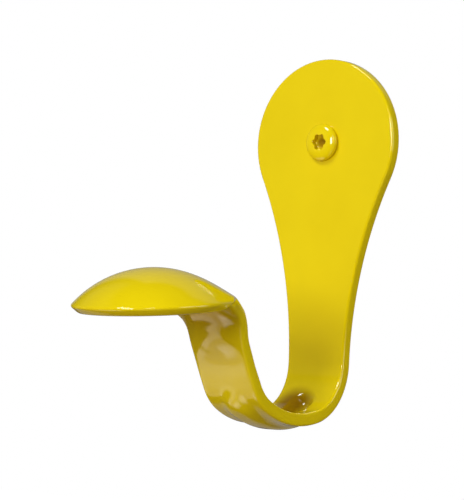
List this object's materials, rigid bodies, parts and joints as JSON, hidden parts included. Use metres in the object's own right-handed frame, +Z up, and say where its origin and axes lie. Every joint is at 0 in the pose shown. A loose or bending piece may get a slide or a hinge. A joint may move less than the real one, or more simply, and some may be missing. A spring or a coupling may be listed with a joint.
{
  "type": "wall hook",
  "caption": "One-piece pressed steel wall hook with a round back plate, a U-shaped strap and a domed pad that holds a helmet, a hat or a coat, with its fixing screw.",
  "frame": {"origin": "middle of the screw hole, on the wall plane behind the back plate", "axes": "+Z up, +Y into the wall, so the hook reaches out towards -Y; +X across the hook"},
  "size_m": [0.04, 0.1052, 0.0883],
  "materials": {
    "yellow_paint": "gloss powder coat",
    "screw_finish": "gloss, painted to match; zinc below the head"
  },
  "bodies": {
    "root": {"hook_body": "yellow_paint", "wall_screw": "screw_finish"}
  },
  "joints": []
}
